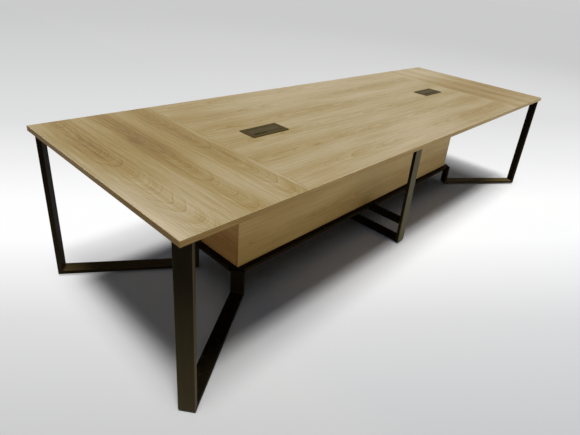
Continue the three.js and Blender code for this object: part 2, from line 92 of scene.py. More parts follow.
def linear(level):
    """An sRGB level from 0 to 255 as a linear value."""
    share = level / 255
    return share / 12.92 if share <= 0.04045 else ((share + 0.055) / 1.055) ** 2.4


def colour(red, green, blue):
    """A linear colour from sRGB levels."""
    return (linear(red), linear(green), linear(blue), 1.0)


def stops(places, tones):
    """The stops of a colour ramp, from tones in sRGB levels."""
    return [(place, colour(*tone)) for place, tone in zip(places, tones)]


# What the materials share: the span of most noise values, raw and about 0; the cosines between the
# true and the rounded normal at an edge; and the slopes at which a face looks up, or along an axis
NOISE_SPAN = (0.3, 0.7)
GRAIN_SPAN = (-0.2, 0.2)
EDGE_TURN = (0.96, 0.75)
EDGE_SAMPLES = 4
UPWARD = (0.6, 0.9)
LENGTHWAYS = (0.7, 0.95)
BACKING_TONES = stops((0.35, 0.65), ((118, 119, 121), (136, 137, 140)))


class Graph:
    """A node material being made. Each call adds a node and returns its output."""

    def __init__(self, name, tree=None):
        if tree is None:
            self.material = bpy.data.materials.new(name)
            self.material.use_nodes = True
            tree = self.material.node_tree
        self.tree = tree
        self.shader = tree.nodes.get("Principled BSDF")

    def node(self, kind, *values, **settings):
        """A node with these settings, and these values on its first inputs."""
        made = self.tree.nodes.new(kind)
        for key, value in settings.items():
            setattr(made, key, value)
        for socket, value in zip(made.inputs, values):
            self.put(socket, value)
        return made

    def put(self, socket, value):
        if isinstance(value, bpy.types.NodeSocket):
            self.tree.links.new(value, socket)
        else:
            socket.default_value = value

    def math(self, operation, *values):
        return self.node("ShaderNodeMath", *values, operation=operation).outputs[0]

    def add(self, *values):
        total = values[0]
        for value in values[1:]:
            total = self.math("ADD", total, value)
        return total

    def scale(self, value, factor):
        return self.math("MULTIPLY", value, factor)

    def share(self, first, second, part):
        """A mean of two values, with the first one's part in it."""
        return self.add(self.scale(first, part), self.scale(second, 1 - part))

    def spread(self, value, low, high, start=0.0, end=1.0, smooth=False):
        """Maps low..high to start..end, clamped."""
        made = self.node("ShaderNodeMapRange", value, low, high, start, end, clamp=True)
        if smooth:
            made.interpolation_type = "SMOOTHSTEP"
        return made.outputs[0]

    def place(self):
        """The object coordinates, which are metres of the whole table."""
        return self.node("ShaderNodeTexCoord").outputs["Object"]

    def split(self, vector):
        return tuple(self.node("ShaderNodeSeparateXYZ", vector).outputs)

    def axes(self):
        return self.split(self.place())

    def vector(self, x, y, z):
        return self.node("ShaderNodeCombineXYZ", x, y, z).outputs[0]

    def noise(self, scale, detail=2.0, rough=0.5, vector=None):
        """Noise at the object coordinates, or at another vector."""
        made = self.node("ShaderNodeTexNoise", self.place() if vector is None else vector)
        made.inputs["Scale"].default_value = scale
        made.inputs["Detail"].default_value = detail
        made.inputs["Roughness"].default_value = rough
        return made.outputs[0]

    def stretched(self, scales, detail=2.0, rough=0.5):
        """Noise with a scale of its own along each axis."""
        place = self.vector(*(self.scale(axis, scale) for axis, scale in zip(self.axes(), scales)))
        return self.noise(1.0, detail, rough, place)

    def grain(self, layer, along, across, seed=0.0):
        """Noise stretched along the grain, about 0."""
        along_scale, across_scale, part, detail, rough = layer
        place = self.vector(self.scale(along, along_scale), self.scale(across, across_scale), seed + part)
        return self.math("SUBTRACT", self.noise(1.0, detail, rough, place), 0.5)

    def chance(self, number):
        """A random value for each whole number."""
        made = self.node("ShaderNodeTexWhiteNoise", noise_dimensions="1D")
        self.put(made.inputs["W"], number)
        return made.outputs[0]

    def boldness(self, count, seed, least):
        """A random strength for each whole part of count, from least to 1 and mostly low."""
        drawn = self.chance(self.add(self.math("FLOOR", count), seed))
        return self.spread(self.math("POWER", drawn, 2.0), 0.0, 1.0, least, 1.0)

    def ramp(self, factor, tones):
        made = self.node("ShaderNodeValToRGB", factor)
        elements = made.color_ramp.elements
        while len(elements) < len(tones):
            elements.new(0.5)
        for element, (position, shade) in zip(elements, tones):
            element.position = position
            element.color = shade
        return made.outputs[0]

    def mix(self, factor, first, second, blend="MIX"):
        """A mix of two colours, which have the node's inputs 6 and 7 and its output 2."""
        made = self.node("ShaderNodeMix", factor, data_type="RGBA", blend_type=blend)
        self.put(made.inputs[6], first)
        self.put(made.inputs[7], second)
        return made.outputs[2]

    def edge_wear_and_highlight(self, base, width, strength, tone):
        """The colour with paler edges: wear, and a painted highlight on the arrises."""
        bevel = self.node("ShaderNodeBevel", width, samples=EDGE_SAMPLES).outputs[0]
        face = self.node("ShaderNodeNewGeometry").outputs["Normal"]
        turn = self.node("ShaderNodeVectorMath", bevel, face, operation="DOT_PRODUCT")
        near = self.spread(turn.outputs["Value"], *EDGE_TURN)
        return self.mix(self.scale(near, strength), base, tone)

    def normal(self):
        return self.split(self.node("ShaderNodeNewGeometry").outputs["Normal"])

    def facing(self, sign):
        """1 on faces that look up, or down where sign is negative, and 0 on all others."""
        return self.spread(self.normal()[2], *(slope * sign for slope in UPWARD))

    def looking(self, along):
        """1 on faces that look along the named axis, either way, and 0 on all others."""
        return self.spread(self.math("ABSOLUTE", self.normal()["XYZ".index(along)]), *LENGTHWAYS)

    def backing(self):
        """Grey backing sheet with short fibres."""
        fibre = self.noise(scale=380.0, detail=3.0, rough=0.6)
        cloud = self.noise(scale=9.0)
        return self.ramp(self.share(fibre, cloud, part=0.6), BACKING_TONES)

    def bump(self, height, distance, strength):
        made = self.node("ShaderNodeBump")
        made.inputs["Strength"].default_value = strength
        made.inputs["Distance"].default_value = distance
        self.put(made.inputs["Height"], height)
        self.put(self.shader.inputs["Normal"], made.outputs[0])

    def finish(self, base, roughness, **constants):
        self.put(self.shader.inputs["Base Color"], base)
        self.put(self.shader.inputs["Roughness"], roughness)
        for key, value in constants.items():
            self.shader.inputs[key.replace("_", " ")].default_value = value
        return self.material


# Oak decor: boards side by side, each with the arches of a flat-sawn board along its middle.
# Lengths are in metres, and a least strength is that of the faintest ring or season.
BOARD_WIDTH = 0.187
BOARD_DRAW = 0.37
RING_WIDTH = 0.0042
RING_DEPTH = 0.10
RING_PLACE = 0.2
RING_SQUASH = 1.9
RING_SHARPNESS = 2.5
RING_LEAST = 0.18
SEASON_WIDTH = 0.018
SEASON_DRAW = 0.61
SEASON_SHARPNESS = 1.6
SEASON_FALL = (0.80, 1.0)
SEASON_MEAN = 0.30
SEASON_LEAST = 0.10
HEART_WIDTH = (0.010, 0.080)
PORE_LIMITS = (0.10, 0.20)

# Layers of grain: scales along and across, place in the noise, detail and roughness
OAK_BEND = (1.2, 4.0, 0.0, 2.0, 0.5)
OAK_WAVE = (5.0, 26.0, 7.0, 3.0, 0.5)
OAK_HAIR = (18.0, 90.0, 11.0, 2.0, 0.5)
OAK_SWAY = (2.2, 3.7, 13.0, 2.0, 0.5)
OAK_RIPPLE = (11.0, 30.0, 17.0, 3.0, 0.5)
OAK_STREAK = (1.9, 85.0, 21.0, 4.0, 0.6)
OAK_STRAND = (3.4, 240.0, 27.0, 3.0, 0.6)
OAK_FIBRE = (13.0, 560.0, 33.0, 3.0, 0.65)
OAK_CLOUD = (1.1, 7.0, 41.0, 2.0, 0.5)
OAK_PORE = (26.0, 640.0, 55.0, 1.0, 0.5)

# How far the layers and each board's luck move the grain, in metres
SIDE_BY = (0.045, 0.012, 0.0018)
LUCK_BY = 0.07
RIPPLE_BY = 0.010

# What each thing adds to the darkness. Lines and arches have a share everywhere and one at the heart,
# and streaks, strands and fibres have one each.
MIDDLE_TONE = 0.43
HEART_DARK = 0.10
LINE_DARK = (0.08, 0.22)
ARCH_DARK = (0.05, 0.21)
STREAK_DARK = (0.50, 0.48, 0.28)
CLOUD_DARK = 0.40
PORE_DARK = 0.06

# Relief of ring, pore and fibre, and roughness of the plain sheet, its fibres and pores
OAK_RELIEF = (-0.35, -0.6, 0.5)
OAK_ROUGH = (0.50, 0.16, 0.10)

TONE_STEPS = (0.10, 0.42, 0.70, 1.0)
OAK_TONES = stops((0.10, 0.42, 0.57, 0.70, 0.82, 1.0),
                  ((214, 195, 161), (184, 166, 133), (169, 150, 109),
                   (155, 133, 82), (141, 114, 53), (116, 87, 28)))
# The trunk's tones are the oak made warmer, painted warm light in the top's shade, and the end boards' warmer
# still
TRUNK_TONES = stops(TONE_STEPS, ((208, 183, 130), (182, 154, 97), (153, 122, 64), (112, 82, 34)))
END_TONES = stops(TONE_STEPS, ((221, 175, 112), (197, 147, 83), (167, 117, 57), (124, 81, 33)))
BAND_TONES = stops(TONE_STEPS, ((194, 175, 134), (161, 137, 92), (121, 93, 48), (92, 67, 27)))


def oak(name, along, across, first, seed, slope=0.22, sway=0.06, tone=0.0, figure=1.0, lines=1.0, tone_and_light_marks=(),
        tones=OAK_TONES, ends=None, edge=(0.0015, 0.35), gloss=0.5, backed=False):
    """Oak whose grain runs along one axis. first is the middle of one board on the other axis.
    slope is how fast the rings run out along a board, and sway how far they wander.
    tone darkens all of it, figure is the strength of the arches, and lines that of the streaks.
    Each mark is a soft spot: its place along and across, its half sizes, and how much darker it is.
    Among them are darker and paler tone, painted shade and painted sheen, as said above each call.
    ends are the tones of faces that look along the grain, edge the width and strength of paler edges,
    wear with a painted highlight on the arrises, and gloss the specular level. A backed board has a
    grey sheet on its underside."""
    graph = Graph(name)
    axis = graph.axes()
    u = axis["XYZ".index(along)]
    v = axis["XYZ".index(across)]

    def grain(layer, source):
        return graph.grain(layer, u, source, seed)

    # Where the grain lies: the board, the way off its middle, and the distance from the rings' centre
    bends = [grain(layer, v) for layer in (OAK_BEND, OAK_WAVE, OAK_HAIR)]
    side = graph.add(v, *map(graph.scale, bends, SIDE_BY))
    count = graph.scale(graph.math("SUBTRACT", side, first), 1 / BOARD_WIDTH)
    board = graph.math("FLOOR", graph.add(count, 0.5))
    off = graph.scale(graph.math("SUBTRACT", count, board), BOARD_WIDTH)
    luck = graph.math("SUBTRACT", graph.chance(graph.add(board, seed + BOARD_DRAW)), 0.5)
    depth = graph.add(RING_DEPTH + RING_PLACE * slope, graph.scale(u, -slope), graph.scale(luck, LUCK_BY),
                      graph.scale(grain(OAK_SWAY, board), sway), graph.scale(grain(OAK_RIPPLE, v), RIPPLE_BY))
    wide = graph.math("POWER", graph.scale(off, RING_SQUASH), 2.0)
    radius = graph.math("SQRT", graph.add(wide, graph.scale(depth, depth)))
    heart = graph.spread(graph.math("ABSOLUTE", off), *HEART_WIDTH, 1.0, 0.0, smooth=True)

    # Year rings, and broader bands of several years
    year = graph.scale(radius, 1 / RING_WIDTH)
    ring = graph.math("POWER", graph.math("FRACT", year), RING_SHARPNESS)
    ring = graph.scale(ring, graph.boldness(year, seed, RING_LEAST))
    season = graph.scale(radius, 1 / SEASON_WIDTH)
    phase = graph.math("FRACT", season)
    swell = graph.scale(graph.math("POWER", phase, SEASON_SHARPNESS),
                       graph.spread(phase, *SEASON_FALL, 1.0, 0.0, smooth=True))
    swell = graph.scale(graph.math("SUBTRACT", swell, SEASON_MEAN),
                       graph.boldness(season, seed + SEASON_DRAW, SEASON_LEAST))

    # Darkness from all of these
    fibre = grain(OAK_FIBRE, side)
    pore = graph.spread(grain(OAK_PORE, side), *PORE_LIMITS)
    line = graph.scale(ring, graph.add(LINE_DARK[0], graph.scale(heart, LINE_DARK[1])))
    arch = graph.scale(swell, graph.add(ARCH_DARK[0], graph.scale(heart, ARCH_DARK[1])))
    streaks = (grain(OAK_STREAK, side), grain(OAK_STRAND, side), fibre)
    dark = graph.add(MIDDLE_TONE + tone, graph.scale(heart, HEART_DARK * figure),
                     graph.scale(line, figure), graph.scale(arch, figure),
                     *(graph.scale(streak, share * lines) for streak, share in zip(streaks, STREAK_DARK)),
                     graph.scale(grain(OAK_CLOUD, side), CLOUD_DARK), graph.scale(pore, PORE_DARK))
    # Soft spots of darker and paler tone, painted shade and painted sheen
    for mark_u, mark_v, half_u, half_v, strength in tone_and_light_marks:
        far = [graph.math("POWER", graph.scale(graph.math("SUBTRACT", place, mark), 1 / half), 2.0)
               for place, mark, half in ((u, mark_u, half_u), (v, mark_v, half_v))]
        spot = graph.math("EXPONENT", graph.scale(graph.add(*far), -1.0))
        dark = graph.add(dark, graph.scale(spot, strength))

    base = graph.ramp(dark, tones)
    if ends:
        base = graph.mix(graph.looking(along), base, graph.ramp(dark, ends))
    # Paler edges: wear, and a painted highlight on the arrises
    base = graph.edge_wear_and_highlight(base, *edge, tone=tones[0][1])
    if backed:
        base = graph.mix(graph.facing(-1), base, graph.backing())
    relief = graph.add(*map(graph.scale, (ring, pore, fibre), OAK_RELIEF))
    graph.bump(relief, distance=0.00025, strength=0.35)
    plain, fibrous, porous = OAK_ROUGH
    rough = graph.add(plain, graph.scale(fibre, fibrous), graph.scale(pore, porous))
    return graph.finish(base, rough, Specular_IOR_Level=gloss)


# Layers of the edge band's grain
BAND_STREAK = (2.4, 190.0, 3.0, 4.0, 0.6)
BAND_FIBRE = (22.0, 900.0, 9.0, 2.0, 0.6)
BAND_CLOUD = (1.6, 12.0, 17.0, 2.0, 0.5)
BAND_DARK = (0.5, 0.3, 0.3)
# Painted shade along the band: darkest at the left end, paler towards the right end
BAND_PAINTED_SHADE = (-1.62, 1.30)


def band_oak():
    """Edge band decor: streaks along the edge, painted shade darkest at the left end and paler to the right,
    and a painted top highlight.
    """
    graph = Graph("band_oak")
    x, y, z = graph.axes()
    along = graph.add(x, y)
    layers = [graph.grain(layer, along, z) for layer in (BAND_STREAK, BAND_FIBRE, BAND_CLOUD)]
    # Painted shade: darker at the left end, paler towards the right end
    dark = graph.add(graph.spread(x, *BAND_PAINTED_SHADE, start=0.62, end=0.26), *map(graph.scale, layers, BAND_DARK))
    # Paler edges and upward faces: a painted highlight along the top arris, with some wear at the edges
    base = graph.edge_wear_and_highlight(graph.ramp(dark, BAND_TONES), width=0.0010, strength=0.4, tone=colour(204, 184, 142))
    base = graph.mix(graph.scale(graph.facing(1), factor=0.8), base, colour(216, 197, 156))
    graph.bump(layers[1], distance=0.0001, strength=0.3)
    rough = graph.spread(layers[1], *GRAIN_SPAN, start=0.44, end=0.56)
    return graph.finish(base, rough, Specular_IOR_Level=0.04)


# Powder-coated steel: scales of its stretched noises, what the noises' values do, and tints
STEEL_SCRATCH = (45.0, 45.0, 420.0)
STEEL_DRIFT = (34.0, 34.0, 3.0)
STEEL_STREAK = (520.0, 520.0, 9.0)
STEEL_LOW = (0.02, 0.60)
SCUFFED = (0.60, 0.72)
LIT_STREAK_SPAN = (0.2, 0.8)
OLIVE_DRIFT = (0.50, 0.66)
RUSSET_DRIFT = (0.50, 0.34)
OLIVE = (1.15, 1.35, 0.95, 1.0)
RUSSET = (1.25, 0.95, 0.90, 1.0)
WARM_TINT = (1.0, 0.86, 0.56, 1.0)


def dark_steel(name, tones, lift=0.0, gloss=0.006, front=None, top=None):
    """Powder-coated steel: near black with a bronze cast, orange peel, and scuffs near the floor.
    lift is how much paler it is low down, a painted bounce light from the floor, and gloss the
    specular level. front is the tone of painted light in streaks on faces that look along Y, and top
    the tone of painted light from above on upper faces."""
    graph = Graph(name)
    cloud = graph.noise(scale=5.0, detail=3.0)
    speck = graph.noise(scale=420.0)
    base = graph.ramp(graph.share(cloud, speck, part=0.7), stops((0.30, 0.55, 0.75), tones))
    low = graph.spread(graph.axes()[2], *STEEL_LOW, start=1.0, end=0.0)
    # Painted bounce light from the floor: paler low down
    base = graph.mix(graph.scale(low, lift), base, colour(72, 63, 40))
    drift = graph.stretched(STEEL_DRIFT)
    for tint, reach in ((OLIVE, OLIVE_DRIFT), (RUSSET, RUSSET_DRIFT)):
        tinted = graph.mix(1.0, base, tint, "MULTIPLY")
        base = graph.mix(graph.spread(drift, *reach, start=0.0, end=0.32), base, tinted)
    # Painted light in streaks on the faces that look along Y
    if front:
        lit_streaks = graph.spread(graph.stretched(STEEL_STREAK), *LIT_STREAK_SPAN, start=0.52, end=0.70)
        base = graph.mix(graph.scale(graph.looking("Y"), lit_streaks), base, front)
    # Painted light from above on the upper faces, uneven in clouds
    if top:
        top_light = graph.spread(cloud, *NOISE_SPAN, start=0.8, end=1.0)
        base = graph.mix(graph.scale(graph.facing(1), top_light), base, top)
    scratch = graph.stretched(STEEL_SCRATCH, detail=3.0)
    scuff = graph.scale(graph.spread(scratch, *SCUFFED), low)
    base = graph.mix(graph.scale(scuff, factor=0.25), base, colour(88, 78, 54))
    # Paler edges: wear, and a painted highlight on the arrises
    base = graph.edge_wear_and_highlight(base, width=0.0022, strength=0.6, tone=colour(82, 68, 42))
    graph.bump(graph.noise(scale=900.0, detail=1.0), distance=0.00012, strength=0.35)
    rough = graph.spread(cloud, 0.0, 1.0, start=0.38, end=0.48)
    rough = graph.add(rough, graph.scale(scuff, factor=0.15))
    return graph.finish(base, rough, Specular_IOR_Level=gloss, Specular_Tint=WARM_TINT)


def bronze(name, tones):
    """Dark bronze of the power modules' bezels and lids, brushed along X."""
    graph = Graph(name)
    brush = graph.stretched((14.0, 1800.0, 1800.0), detail=3.0, rough=0.6)
    cloud = graph.noise(scale=26.0)
    base = graph.ramp(graph.share(brush, cloud, part=0.6), stops((0.32, 0.52, 0.72), tones))
    base = graph.edge_wear_and_highlight(base, width=0.0008, strength=0.2, tone=colour(140, 126, 98))
    graph.bump(brush, distance=0.00005, strength=0.3)
    rough = graph.spread(brush, 0.0, 1.0, start=0.42, end=0.56)
    return graph.finish(base, rough, Specular_IOR_Level=0.03, Specular_Tint=WARM_TINT)


def plastic(name, tones, grain=700.0, gloss=0.5):
    """Moulded plastic with a fine spark-eroded texture."""
    graph = Graph(name)
    fine = graph.noise(scale=grain)
    cloud = graph.noise(scale=30.0)
    base = graph.ramp(graph.share(fine, cloud, part=0.4), stops((0.35, 0.65), tones))
    graph.bump(fine, distance=0.0001, strength=0.4)
    rough = graph.spread(fine, *NOISE_SPAN, start=0.42, end=0.6)
    return graph.finish(base, rough, Specular_IOR_Level=gloss)


def bright_steel(name):
    """Zinc-plated steel of pins, screws and threads."""
    graph = Graph(name)
    cloud = graph.noise(scale=160.0, detail=3.0)
    base = graph.ramp(cloud, stops(NOISE_SPAN, ((150, 148, 140), (190, 188, 180))))
    graph.bump(graph.noise(scale=1500.0, detail=1.0), distance=0.00005, strength=0.3)
    rough = graph.spread(cloud, *NOISE_SPAN, start=0.26, end=0.42)
    return graph.finish(base, rough, Metallic=1.0)


def new_object(name, data):
    """An object in the scene."""
    made = bpy.data.objects.new(name, data)
    bpy.context.scene.collection.objects.link(made)
    return made


def make_camera():
    data = bpy.data.cameras.new("camera")
    data.sensor_fit = "HORIZONTAL"
    data.sensor_width = SENSOR_WIDTH
    data.lens = CAMERA_FOCAL / IMAGE_WIDTH * SENSOR_WIDTH
    data.shift_x = (IMAGE_WIDTH / 2 - CAMERA_CENTRE[0]) / IMAGE_WIDTH
    data.shift_y = (CAMERA_CENTRE[1] - IMAGE_HEIGHT / 2) / IMAGE_WIDTH
    data.clip_end = CAMERA_REACH
    camera = new_object("camera", data)
    turn = Matrix.Rotation(CAMERA_YAW - pi / 2, 4, "Z") @ Matrix.Rotation(pi / 2 - CAMERA_PITCH, 4, "X")
    camera.matrix_world = Matrix.Translation(CAMERA_PLACE) @ turn @ Matrix.Rotation(-CAMERA_ROLL, 4, "Z")
    bpy.context.scene.camera = camera


def make_floor():
    """The floor, in which the camera sees the shadow lifted in places."""
    mesh = bpy.data.meshes.new("floor")
    corners = [(x * FLOOR_HALF, y * FLOOR_HALF, 0.0) for x, y in ((-1, -1), (1, -1), (1, 1), (-1, 1))]
    mesh.from_pydata(corners, [], [(0, 1, 2, 3)])
    floor = new_object("floor", mesh)
    graph = Graph("floor_paper")
    x, y, _ = graph.axes()
    # The painted band of light, by the angle about the fan's centre
    fan = graph.math("ARCTAN2", graph.math("SUBTRACT", y, FLOOR_FAN_CENTRE[1]),
                     graph.math("SUBTRACT", x, FLOOR_FAN_CENTRE[0]))
    share = graph.spread(fan, *map(radians, FLOOR_FAN))
    start, end = FLOOR_FAN
    bands = [((angle - start) / (end - start), colour(grey, grey, grey)) for angle, grey in FLOOR_BANDS]
    distance = graph.math("SQRT", graph.add(graph.math("POWER", x, 2.0), graph.math("POWER", y, 2.0)))
    far = graph.spread(distance, *FLOOR_FADE, smooth=True)
    pale = graph.mix(far, graph.ramp(share, bands), bands[-1][1])
    rays = graph.node("ShaderNodeLightPath").outputs
    base = graph.mix(rays["Is Diffuse Ray"], pale, FLOOR_BOUNCE)
    rough = graph.spread(graph.noise(scale=FLOOR_GRAIN), *NOISE_SPAN, *FLOOR_ROUGH)
    behind = graph.spread(y, *FLOOR_BEHIND, smooth=True)
    beside = graph.spread(x, *FLOOR_BESIDE, smooth=True)
    seen = rays["Is Camera Ray"]
    lit = graph.math("MAXIMUM", behind, beside)
    faint = graph.mix(graph.spread(graph.math("ABSOLUTE", y), *FLOOR_SIDES), BLACK, FLOOR_GLOW_SIDES)
    faint = graph.mix(graph.spread(graph.math("ABSOLUTE", x), *FLOOR_ENDS), faint, FLOOR_GLOW_ENDS)
    glow = graph.scale(lit, seen)
    paper = graph.finish(graph.mix(glow, base, BLACK), rough, Specular_IOR_Level=0.0)
    graph.put(graph.shader.inputs["Emission Color"], graph.mix(lit, faint, pale))
    graph.put(graph.shader.inputs["Emission Strength"], seen)
    mesh.materials.append(paper)
    return floor


def make_sun(name, strength, angle, source):
    """A sun lamp that shines from the given direction towards the table."""
    source = Vector(source).normalized()
    data = bpy.data.lights.new(name, "SUN")
    data.energy = strength
    data.angle = radians(angle)
    lamp = new_object(name, data)
    lamp.rotation_euler = (-source).to_track_quat("-Z", "Y").to_euler()
    lamp.location = source * SUN_DISTANCE


def make_strip(floor):
    """A long low strip lamp that faces the table's near side and leaves the floor alone."""
    data = bpy.data.lights.new("strip", "AREA")
    data.shape = "RECTANGLE"
    data.size, data.size_y = STRIP_SIZE
    data.energy = STRIP_POWER
    lamp = new_object("strip", data)
    lamp.rotation_euler = (radians(90), 0.0, 0.0)
    lamp.location = STRIP_PLACE
    lamp.visible_camera = False
    unlit = bpy.data.collections.new("unlit_by_strip")
    unlit.objects.link(floor)
    lamp.light_linking.receiver_collection = unlit
    unlit.collection_objects[0].light_linking.link_state = "EXCLUDE"


def make_light(floor):
    """The lamps, and a backdrop that is bright only to the camera and in reflections."""
    make_sun(*KEY_SUN)
    make_sun(*SOFT_SUN)
    make_strip(floor)
    world = bpy.data.worlds.new("studio")
    world.use_nodes = True
    bpy.context.scene.world = world
    graph = Graph("studio", world.node_tree)
    rays = graph.node("ShaderNodeLightPath").outputs
    mirrored = graph.math("MAXIMUM", rays["Is Glossy Ray"], rays["Is Transmission Ray"])
    level = graph.spread(mirrored, 0.0, 1.0, AMBIENT, BACKDROP_MIRRORED)
    seen = graph.spread(rays["Is Camera Ray"], 0.0, 1.0, level, BACKDROP_SEEN)
    background = world.node_tree.nodes["Background"]
    background.inputs["Color"].default_value = (1.0, 1.0, 1.0, 1.0)
    graph.put(background.inputs["Strength"], seen)


# How the CAD nodes are welded and rounded
WELD_REACH = 0.000005
EDGE_ROUND = 0.0003
BEVEL_SEGMENTS = 2
BEVEL_ANGLE = 50.0
FACE_WEIGHT = 100


def dress(node, material, bevel=EDGE_ROUND):
    """Gives a CAD node its material, welds the shown mesh and rounds its edges."""
    mesh = node.data
    for old in ("custom_normal", "sharp_face", "sharp_edge"):
        if old in mesh.attributes:
            mesh.attributes.remove(mesh.attributes[old])
    mesh.materials.clear()
    mesh.materials.append(material)
    weld = node.modifiers.new("weld", "WELD")
    weld.merge_threshold = WELD_REACH
    if bevel:
        round_edges = node.modifiers.new("bevel", "BEVEL")
        round_edges.width = bevel
        round_edges.segments = BEVEL_SEGMENTS
        round_edges.limit_method = "ANGLE"
        round_edges.angle_limit = radians(BEVEL_ANGLE)
    weighted = node.modifiers.new("weighted", "WEIGHTED_NORMAL")
    weighted.keep_sharp = True
    weighted.weight = FACE_WEIGHT


make_camera()
make_light(make_floor())

# Painted sheen in the paler spots towards the near left corner and along the left edge; the darker spots are
# tone, and a paler line runs along the seam
top_left = oak("top_oak_left", "Y", "X", -1.515, 2.0, tone=0.17, backed=True,
               tone_and_light_marks=((0.187, -1.348, 0.035, 0.014, 0.30), (0.20, -1.28, 0.40, 0.26, 0.21),
                      (-0.36, -1.32, 0.22, 0.30, -0.10), (-0.40, -1.49, 0.20, 0.06, -0.10),
                      (-0.40, -1.14, 0.20, 0.05, -0.08), (-0.55, -1.60, 0.25, 0.12, -0.13),
                      (-0.42, -1.62, 0.26, 0.035, -0.18), (-0.18, -1.57, 0.16, 0.08, -0.12),
                      (0.25, -1.58, 0.16, 0.07, 0.08), (0.0, -1.081, 40.0, 0.004, -0.12)))
# Painted sheen over the paler far part; a paler line runs along the seam, and a paler spot lies towards the
# near side
top_right = oak("top_oak_right", "Y", "X", 1.515, 31.0, tone=0.32, backed=True,
                tone_and_light_marks=((0.0, 1.081, 40.0, 0.004, -0.12), (0.42, 1.32, 0.30, 0.60, -0.36),
                       (-0.60, 1.30, 0.24, 0.60, -0.18)))
# Painted sheen: paler along the far part and darker towards the near left, among spots of darker and paler
# tone
top_centre = oak("top_oak_centre", "X", "Y", -0.07, 63.0, slope=0.10, sway=0.04, tone=0.10, figure=0.7,
                 backed=True,
                 tone_and_light_marks=((-0.709, -0.263, 0.03, 0.010, 0.20), (-0.62, -0.10, 0.30, 0.22, 0.06),
                        (-0.98, 0.20, 0.24, 0.40, 0.12), (0.0, -0.42, 0.36, 0.13, -0.12),
                        (0.62, -0.40, 0.30, 0.14, 0.09), (0.98, -0.30, 0.20, 0.24, 0.11),
                        (0.30, 0.50, 0.75, 0.11, -0.13), (-0.95, -0.53, 0.16, 0.08, 0.10)))
# Darker towards the bottom along the whole face, painted shade where the stretcher meets it, and a darker
# cloud at the left
trunk_long = oak("trunk_oak_long", "X", "Z", 0.45, 97.0, slope=0.03, tone=0.025, figure=0.7, lines=0.6,
                 tones=TRUNK_TONES, ends=END_TONES, edge=(0.0012, 0.3), gloss=0.3,
                 tone_and_light_marks=((0.0, 0.15, 40.0, 0.10, 0.16), (-0.95, 0.35, 0.45, 0.30, 0.06),
                        (-0.03, 0.165, 0.07, 0.05, 0.22)))
trunk_short = oak("trunk_oak_short", "Y", "Z", 0.45, 131.0, slope=0.05, tone=0.08, figure=0.7,
                  tones=END_TONES, edge=(0.0012, 0.3), gloss=0.3)
trunk_flat = oak("trunk_oak_flat", "X", "Y", 0.0, 151.0, slope=0.03, tone=0.10, figure=0.7, tones=TRUNK_TONES)
band = band_oak()
# One powder coat in lit and shaded copies: each part's tone is painted light and shade for how light falls on
# it
base_steel = dark_steel("base_steel", ((28, 22, 11), (34, 27, 13), (42, 34, 18)))
rail_steel = dark_steel("rail_steel", ((44, 35, 19), (52, 42, 24), (60, 49, 29)), top=colour(106, 91, 55))
dim_rail = dark_steel("dim_rail_steel", ((26, 20, 9), (32, 25, 12), (39, 31, 16)), top=colour(78, 64, 40))
shade_steel = dark_steel("shade_steel", ((20, 16, 8), (26, 21, 11), (34, 28, 15)), gloss=0.004)
LEG_TONES = ((20, 16, 9), (26, 20, 12), (33, 27, 16))
leg_steel = dark_steel("leg_steel", LEG_TONES, lift=0.2)
lit_near_leg_steel = dark_steel("lit_near_leg_steel", LEG_TONES, lift=0.6, gloss=0.03, front=colour(92, 80, 56))
lit_mid_leg_steel = dark_steel("lit_mid_leg_steel", ((24, 20, 12), (30, 25, 15), (37, 31, 19)), lift=0.2, gloss=0.04,
                       front=colour(110, 103, 76))
bezel = bronze("bezel_bronze", ((62, 51, 23), (73, 60, 29), (84, 70, 37)))
lid = bronze("lid_bronze", ((66, 57, 33), (77, 67, 41), (88, 77, 49)))
tray_paint = plastic("tray_paint", ((30, 29, 27), (40, 38, 35)), grain=500.0)
socket_dark = plastic("socket_plastic", ((44, 43, 41), (54, 52, 50)), grain=900.0)
glide_black = plastic("glide_plastic", ((20, 19, 18), (28, 27, 25)))
pin = bright_steel("pin_steel")

# Start of the CAD nodes' names, their material, and their edge radius where it isn't the plain one.
# A node takes the first row that fits.
FINISHES = (("top_panel_left", top_left), ("top_panel_right", top_right), ("top_panel_centre", top_centre),
            ("edge_band", band, 0.0004), ("trunk_side", trunk_long, 0.0006),
            ("trunk_end", trunk_short, 0.0006), ("trunk_floor", trunk_flat, 0.0006),
            ("power_bezel", bezel, 0.0005), ("power_lid", lid, 0.0004), ("power_hinge_pin", pin, 0.0),
            ("power_tray", tray_paint, 0.0004), ("power_sockets", socket_dark, 0.0006),
            ("glide", glide_black, 0.0004),
            ("leg_mid", lit_mid_leg_steel), ("leg_near_left", lit_near_leg_steel), ("leg", leg_steel),
            (("floor_rail_near_left", "floor_rail_mid", "post_near_left", "stretcher"), shade_steel),
            ("floor_rail_far_left", dim_rail), ("floor_rail", rail_steel), ("", base_steel))

for name, node in nodes.items():
    dress(node, *next(finish[1:] for finish in FINISHES if name.startswith(finish[0])))


# Detail pieces. Each frame has a foot point under its leg's outer face, and runs inwards from there.
TUBE_WIDTH = 0.065
TUBE_DEPTH = 0.020
TUBE_CORNER = 0.003
RAIL_TOP = 0.030
PLATE_BOTTOM = 0.7227
FRAME_LENGTH = 0.65298
FRAME_TURN = (0.81702, 0.57659)
LEG_FOOT = (1.594, 0.535)
MID_LEG_FOOT = 0.426
BASE_HALF_LENGTH = 1.0855
BASE_HALF_WIDTH = 0.1745
BASE_RAIL_LEVELS = (0.1337, 0.1537)
CORNERS = {"near_left": (-1, -1), "near_right": (1, -1), "far_left": (-1, 1), "far_right": (1, 1)}
SIDES = {"near": -1, "far": 1}
ENDS = {"left": -1, "right": 1}
UP = Vector((0.0, 0.0, 1.0))
RIGHT = Vector((1.0, 0.0, 0.0))


